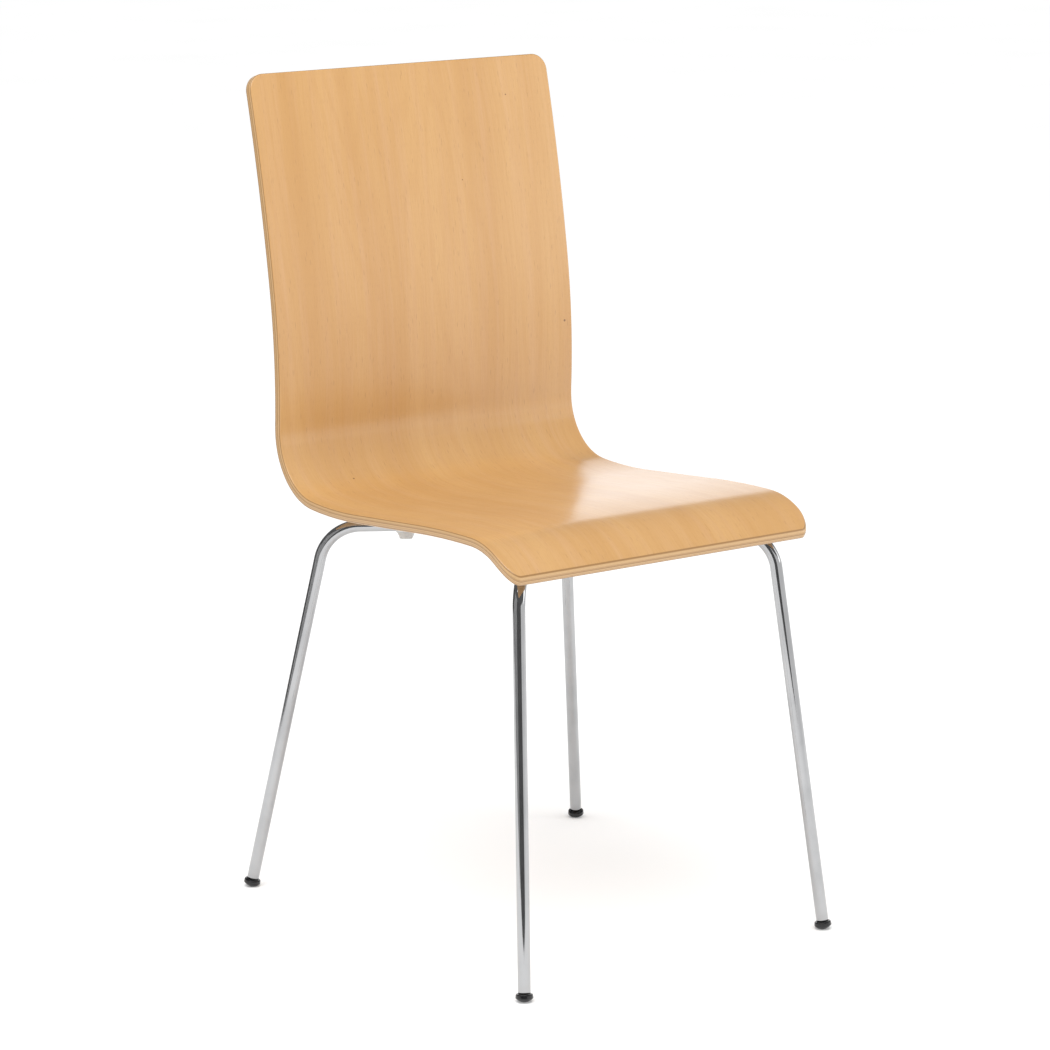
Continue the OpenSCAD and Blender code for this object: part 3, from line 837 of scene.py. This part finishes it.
bolt_outline += [
    (BOLT_HEAD_R, -HEAD_EASE),
    (BOLT_HEAD_R - HEAD_EASE, 0),
    (BOLT_R + SHANK_FILLET, 0),
    (BOLT_R, SHANK_FILLET),
    (BOLT_R, BOLT_LENGTH - TIP_CHAMFER),
    (BOLT_R - TIP_CHAMFER, BOLT_LENGTH),
    (0, BOLT_LENGTH),
]
washer_zinc = zinc_finish("bright_zinc_washer", (0.60, 0.61, 0.63, 1),
                          (0.44, 0.45, 0.47, 1), True)
bolt_zinc = zinc_finish("bright_zinc_bolt", (0.52, 0.53, 0.55, 1),
                        (0.36, 0.37, 0.39, 1), True)
for spot in HARDWARE:
    washer_middle = middle_of("washer_" + spot)
    shape = turn_on_lathe(washer_outline, washer_middle, seat_up)
    turned_piece("washer_" + spot + "_zinc", shape, washer_zinc, "washer_steel",
                 "washer_" + spot)
    under_washer = washer_middle - seat_up * WASHER_T / 2
    shape = turn_on_lathe(bolt_outline, under_washer, seat_up, BOLT_SIDES, False,
                          SOCKET_RINGS)
    turned_piece("bolt_" + spot + "_zinc", shape, bolt_zinc, "bolt_steel", "bolt_" + spot)

# ---- Stacking buffers ----------------------------------------------------------------------
# Four soft grey plastic blocks, moulded with a slot and pushed onto the arms from below.
# The foot of each rests on the seat of the chair below, so the tubes don't scratch it.
BUFFER_FROM_CORNER = 0.085
BUFFER_LENGTH = 0.0205
BUFFER_FOOT_LENGTH = 0.015
BUFFER_RING_R = TUBE_R + 0.0025
BUFFER_FOOT = -TUBE_R - 0.008
BUFFER_HALF_FOOT_W = 0.0065
BUFFER_CORNER_R = 0.003
BUFFER_HALF_SLOT = 0.0045
BUFFER_PLAY = 0.00005


def buffer_foot_height(along):
    """Height of the underside of a buffer, at a distance along the arm from its middle."""
    slope_setback = 0.0012
    arc_end = 0.85
    least_wall = 0.0002
    away = abs(along)
    half_foot = BUFFER_FOOT_LENGTH / 2
    if away <= half_foot - BUFFER_CORNER_R:
        return BUFFER_FOOT
    slope = (-TUBE_R - BUFFER_FOOT) / (BUFFER_LENGTH / 2 - half_foot)
    on_slope = BUFFER_FOOT + (away - half_foot + slope_setback) * slope
    reach = min(1.0, (away - half_foot + BUFFER_CORNER_R) / BUFFER_CORNER_R)
    on_arc = BUFFER_FOOT + BUFFER_CORNER_R * (1 - math.sqrt(1 - reach * reach))
    height = on_arc if reach < arc_end else on_slope
    return min(-TUBE_R - least_wall, max(height, BUFFER_FOOT))


def buffer_section(foot, shrink):
    """Outline across the arm: a slotted ring round the tube with a foot under it."""
    ring_r = BUFFER_RING_R - shrink
    half_foot = BUFFER_HALF_FOOT_W - shrink
    bore = TUBE_R + BUFFER_PLAY
    half = []
    slot_angle = math.asin(BUFFER_HALF_SLOT / ring_r)
    foot_angle = math.pi - math.asin(half_foot / ring_r)
    ring_steps = 14
    for k in range(ring_steps + 1):
        angle = slot_angle + (foot_angle - slot_angle) * k / ring_steps
        half.append((ring_r * math.sin(angle), ring_r * math.cos(angle)))
    top_of_foot = ring_r * math.cos(foot_angle)
    largest_round = 0.0018
    round_r = min(largest_round, (top_of_foot - foot) * 0.45)
    round_steps = 5
    for k in range(round_steps + 1):
        angle = math.radians(90 * k / round_steps)
        half.append((half_foot - round_r * (1 - math.cos(angle)),
                     foot + round_r * (1 - math.sin(angle))))
    outside = half + [(-x, z) for x, z in reversed(half)]
    bore_slot = math.asin(BUFFER_HALF_SLOT / bore)
    bore_steps = 30
    inside = []
    for k in range(bore_steps + 1):
        angle = -bore_slot - (2 * math.pi - 2 * bore_slot) * k / bore_steps
        inside.append((bore * math.sin(angle), bore * math.cos(angle)))
    return outside + inside


def moulded_buffer(place, along, over, up):
    """Sections of a buffer down the arm, joined and closed at both ends."""
    half = BUFFER_LENGTH / 2
    end_ease = 0.0006
    near_end = 0.0002
    inner = [half * math.sin(math.radians(90 * k / 12)) * 0.96 for k in range(-12, 13)]
    stations = [(-half, end_ease), (-half + near_end, near_end)]
    stations += [(t, 0.0) for t in inner]
    stations += [(half - near_end, near_end), (half, end_ease)]
    points = []
    faces = []
    for t, shrink in stations:
        section = buffer_section(buffer_foot_height(t) + shrink, shrink)
        for x, z in section:
            points.append(place + along * t + over * x + up * z)
    count = len(section)
    for i in range(len(stations) - 1):
        for k in range(count):
            after = (k + 1) % count
            faces.append((i * count + k, i * count + after,
                          (i + 1) * count + after, (i + 1) * count + k))
    faces.append(tuple(range(count)))
    faces.append(tuple((len(stations) - 1) * count + k for k in range(count)))
    return points, faces


def grey_plastic_finish():
    """Soft light grey polyethylene, a little translucent and scuffed."""
    finish, tree, surface = new_finish("grey_polyethylene")
    place = add(tree, "TexCoord", {}).outputs["Object"]
    cloud = mottle(tree, place, (120, 120, 120), 3.0)
    scuffs = mottle(tree, place, (900, 260, 900), 3.0, 0.7)
    grey = tint(tree, rise(tree, cloud, 0.3, 0.7), (0.60, 0.60, 0.585, 1),
                (0.50, 0.50, 0.49, 1))
    grey = tint(tree, rise(tree, scuffs, 0.62, 0.80, 0.0, 0.5), grey, (0.34, 0.34, 0.33, 1))
    tree.links.new(grey, surface.inputs["Base Color"])
    tree.links.new(rise(tree, scuffs, 0.3, 0.8, 0.34, 0.55), surface.inputs["Roughness"])
    tree.links.new(dent(tree, scuffs, 0.00003, 0.5), surface.inputs["Normal"])
    surface.inputs["Subsurface Weight"].default_value = 0.25
    surface.inputs["Subsurface Radius"].default_value = (0.002, 0.002, 0.002)
    surface.inputs["Subsurface Scale"].default_value = 1.0
    return finish


grey_polyethylene = grey_plastic_finish()
for spot in HARDWARE:
    end, side = spot.split("_")
    leg_corner = corner(side, end + "_leg")
    along = (corner(side, end + "_run") - leg_corner).normalized()
    over = Vector((0, 0, 1)).cross(along).normalized()
    up = along.cross(over)
    points, faces = moulded_buffer(leg_corner + along * BUFFER_FROM_CORNER, along, over, up)
    stop = make_piece("stacking_stop_" + spot, points, faces, grey_polyethylene,
                      "buffer_plastic", "buffer_" + spot)
    stop.data.set_sharp_from_angle(angle=math.radians(40))

# ---- Glides --------------------------------------------------------------------------------
# Black plastic feet with a domed sole and a plug that is driven into the end of each leg.
# Moulded glossy; the sole is dull where it slides on the floor.
GLIDE_R = 0.009
GLIDE_HEAD_H = 0.008
GLIDE_DOME_R = 0.012
GLIDE_FLAT_R = 0.0035
DOME_STEPS = 14
GLIDE_ROUND_OVER = 0.0001
GLIDE_RIM_EASE = 0.0003
GLIDE_SHOULDER_R = 0.0012
PLUG_LENGTH = 0.022
PLUG_EASE = 0.001
PLUG_PLAY = 0.00005
plug_r = TUBE_R - TUBE_WALL - PLUG_PLAY
dome_centre_up = math.sqrt(GLIDE_DOME_R ** 2 - GLIDE_FLAT_R ** 2)


def black_glide_finish():
    """Glossy black plastic, scuffed dull and grey low down where it meets the floor."""
    finish, tree, surface = new_finish("glossy_black_glide")
    place = add(tree, "TexCoord", {}).outputs["Object"]
    height = add(tree, "SeparateXYZ", {0: place}).outputs["Z"]
    scuffs = mottle(tree, place, (1400, 1400, 600), 3.0, 0.7)
    cloud = mottle(tree, place, (210, 210, 210), 2.0)
    worn = calc(tree, "MULTIPLY", rise(tree, height, 0.0028, 0.0004),
                rise(tree, scuffs, 0.35, 0.6, 0.35, 1.0))
    black = tint(tree, rise(tree, cloud, 0.3, 0.7), (0.006, 0.006, 0.007, 1),
                 (0.012, 0.012, 0.013, 1))
    black = tint(tree, worn, black, (0.060, 0.058, 0.055, 1))
    tree.links.new(black, surface.inputs["Base Color"])
    rough = calc(tree, "ADD", rise(tree, cloud, 0.3, 0.8, 0.13, 0.24),
                 calc(tree, "MULTIPLY", worn, 0.35))
    tree.links.new(rough, surface.inputs["Roughness"])
    tree.links.new(dent(tree, scuffs, 0.00002, 0.35), surface.inputs["Normal"])
    return finish


black_glide = black_glide_finish()
for spot in HARDWARE:
    end, side = spot.split("_")
    way = (corner(side, end + "_leg") - corner(side, end + "_end")).normalized()
    tube_end = corner(side, end + "_end")
    base = tube_end - way * GLIDE_HEAD_H
    hub = dome_centre_up / way.z
    shoulder = hub - math.sqrt(GLIDE_DOME_R ** 2 - GLIDE_R ** 2)
    outline = [(0, hub - GLIDE_DOME_R)]
    rim_swing = math.asin(GLIDE_R / GLIDE_DOME_R)
    for k in range(1, DOME_STEPS + 1):
        swing = rim_swing * k / DOME_STEPS
        outline.append((GLIDE_DOME_R * math.sin(swing), hub - GLIDE_DOME_R * math.cos(swing)))
    outline[-1] = (GLIDE_R - GLIDE_ROUND_OVER, outline[-1][1])
    outline.append((GLIDE_R, shoulder + GLIDE_RIM_EASE))
    outline += rounded([
        (GLIDE_R, shoulder + GLIDE_RIM_EASE, 0),
        (GLIDE_R - GLIDE_RIM_EASE, GLIDE_HEAD_H, GLIDE_SHOULDER_R),
        (plug_r, GLIDE_HEAD_H, 0),
        (plug_r, GLIDE_HEAD_H + PLUG_LENGTH, PLUG_EASE),
        (0, GLIDE_HEAD_H + PLUG_LENGTH, 0),
    ], closed=False)[1:]
    points, faces, turned = turn_on_lathe(outline, base, way, closed=False)
    for point in points:
        point.z = max(point.z, 0.0)
    turned_piece("domed_glide_" + spot, (points, faces, turned), black_glide,
                 "glide_plastic", "glide_" + spot)

# ---- Studio --------------------------------------------------------------------------------
# A pale seamless floor, even light from all round and one large soft light to the right.
# Dark and grey cards stand in front and to the left, for the dark lines that chrome needs,
# and a bright one stands behind, for the white sheen across the seat.
FLOOR_HALF = 30.0
scene = bpy.context.scene
floor_mesh = bpy.data.meshes.new("studio_floor")
floor_mesh.from_pydata(
    [(x, y, 0) for x, y in ((-FLOOR_HALF, -FLOOR_HALF), (FLOOR_HALF, -FLOOR_HALF),
                            (FLOOR_HALF, FLOOR_HALF), (-FLOOR_HALF, FLOOR_HALF))],
    [], [(0, 1, 2, 3)])
studio_floor = bpy.data.objects.new("studio_floor", floor_mesh)
scene.collection.objects.link(studio_floor)
floor_paper, tree, surface = new_finish("pale_floor_paper")
paper = mottle(tree, add(tree, "TexCoord", {}).outputs["Object"], (3, 3, 3), 2.0)
tree.links.new(tint(tree, paper, (0.86, 0.86, 0.86, 1), (0.90, 0.90, 0.90, 1)),
               surface.inputs["Base Color"])
surface.inputs["Roughness"].default_value = 0.9
surface.inputs["Specular IOR Level"].default_value = 0.0
surface.inputs["Emission Color"].default_value = (1, 1, 1, 1)
surface.inputs["Emission Strength"].default_value = 0.12
floor_mesh.materials.append(floor_paper)

sky = bpy.data.worlds.new("even_studio_light")
sky.use_nodes = True
sky.node_tree.nodes["Background"].inputs["Color"].default_value = (1.0, 1.0, 1.0, 1)
sky.node_tree.nodes["Background"].inputs["Strength"].default_value = 1.0
scene.world = sky


def soft_light(name, place, aim, width, height, watts):
    """A broad lamp at a place, turned to its aim."""
    lamp = bpy.data.lights.new(name, "AREA")
    lamp.shape = "RECTANGLE"
    lamp.size = width
    lamp.size_y = height
    lamp.energy = watts
    light = bpy.data.objects.new(name, lamp)
    light.location = place
    light.rotation_euler = (Vector(place) - Vector(aim)).to_track_quat("Z", "Y").to_euler()
    light.visible_camera = False
    scene.collection.objects.link(light)


def studio_card(name, middle, half_width, top, colour, glow=0.0, fade=0.0):
    """An upright card that only the chair's reflections show. Its glow fades at the top."""
    middle = Vector(middle)
    along = Vector((0, 0, 1)).cross(middle.normalized()) * half_width
    mesh = bpy.data.meshes.new(name)
    rise_to_top = Vector((0, 0, top))
    mesh.from_pydata([middle - along, middle + along,
                      middle + along + rise_to_top, middle - along + rise_to_top],
                     [], [(0, 1, 2, 3)])
    card = bpy.data.objects.new(name, mesh)
    scene.collection.objects.link(card)
    finish, tree, surface = new_finish(name + "_paint")
    surface.inputs["Base Color"].default_value = colour
    surface.inputs["Roughness"].default_value = 1.0
    surface.inputs["Emission Color"].default_value = (1, 1, 1, 1)
    surface.inputs["Emission Strength"].default_value = glow
    if fade:
        up = add(tree, "TexCoord", {}).outputs["Object"]
        height = add(tree, "SeparateXYZ", {0: up}).outputs["Z"]
        tree.links.new(rise(tree, height, top, top - fade, 0.0, glow),
                       surface.inputs["Emission Strength"])
    mesh.materials.append(finish)
    card.visible_camera = False
    card.visible_diffuse = False
    card.visible_shadow = False


def studio_ceiling(name, height, half_width, glow):
    """A level card overhead, seen only in what the chair reflects."""
    mesh = bpy.data.meshes.new(name)
    mesh.from_pydata([(-half_width, -half_width, height), (-half_width, half_width, height),
                      (half_width, half_width, height), (half_width, -half_width, height)],
                     [], [(0, 1, 2, 3)])
    ceiling = bpy.data.objects.new(name, mesh)
    scene.collection.objects.link(ceiling)
    finish, tree, surface = new_finish(name + "_paint")
    surface.inputs["Base Color"].default_value = (0, 0, 0, 1)
    surface.inputs["Roughness"].default_value = 1.0
    surface.inputs["Emission Color"].default_value = (1, 1, 1, 1)
    surface.inputs["Emission Strength"].default_value = glow
    mesh.materials.append(finish)
    ceiling.visible_camera = False
    ceiling.visible_diffuse = False
    ceiling.visible_shadow = False


soft_light("right_softbox", (2.20, -1.55, 1.20), (0.05, 0.1, 0.65), 1.1, 1.2, 7)
soft_light("top_softbox", (-0.7, -0.5, 2.5), (0, 0, 0.4), 2.0, 2.0, 34)
studio_ceiling("dim_ceiling", 2.6, 8.0, 0.15)
dark_paint = (0.10, 0.10, 0.10, 1)
grey_paint = (0.35, 0.35, 0.35, 1)
black_paint = (0, 0, 0, 1)
studio_card("dark_card_front", (-1.30, -1.55, 0), 1.35, 1.3, dark_paint)
studio_card("dark_card_left", (-1.10, 1.75, 0), 0.95, 1.3, dark_paint)
studio_card("grey_card_left", (-1.75, 0.15, 0), 0.80, 1.3, grey_paint)
studio_card("bright_backdrop", (2.0, 3.0, 0), 2.6, 2.0, black_paint, 1.45, 0.8)

# ---- Camera --------------------------------------------------------------------------------
# A long lens from the front right of the chair, a little above its seat.
# It stands well back, so the near and far legs keep nearly the same scale.
camera_data = bpy.data.cameras.new("camera")
camera_data.lens = 132.3
camera_data.sensor_width = 36.0
camera_data.clip_end = 200.0
camera = bpy.data.objects.new("camera", camera_data)
scene.collection.objects.link(camera)
CAMERA_AZIMUTH = math.radians(-35.66)
CAMERA_ELEVATION = math.radians(12.80)
CAMERA_AIM = Vector((0.1641, 0.2477, 0.3481))
CAMERA_DISTANCE = 4.370
camera_back = Vector((math.sin(CAMERA_AZIMUTH) * math.cos(CAMERA_ELEVATION),
                      -math.cos(CAMERA_AZIMUTH) * math.cos(CAMERA_ELEVATION),
                      math.sin(CAMERA_ELEVATION)))
camera.location = CAMERA_AIM + camera_back * CAMERA_DISTANCE
camera.rotation_euler = camera_back.to_track_quat("Z", "Y").to_euler()
scene.camera = camera
scene.view_settings.view_transform = "Standard"
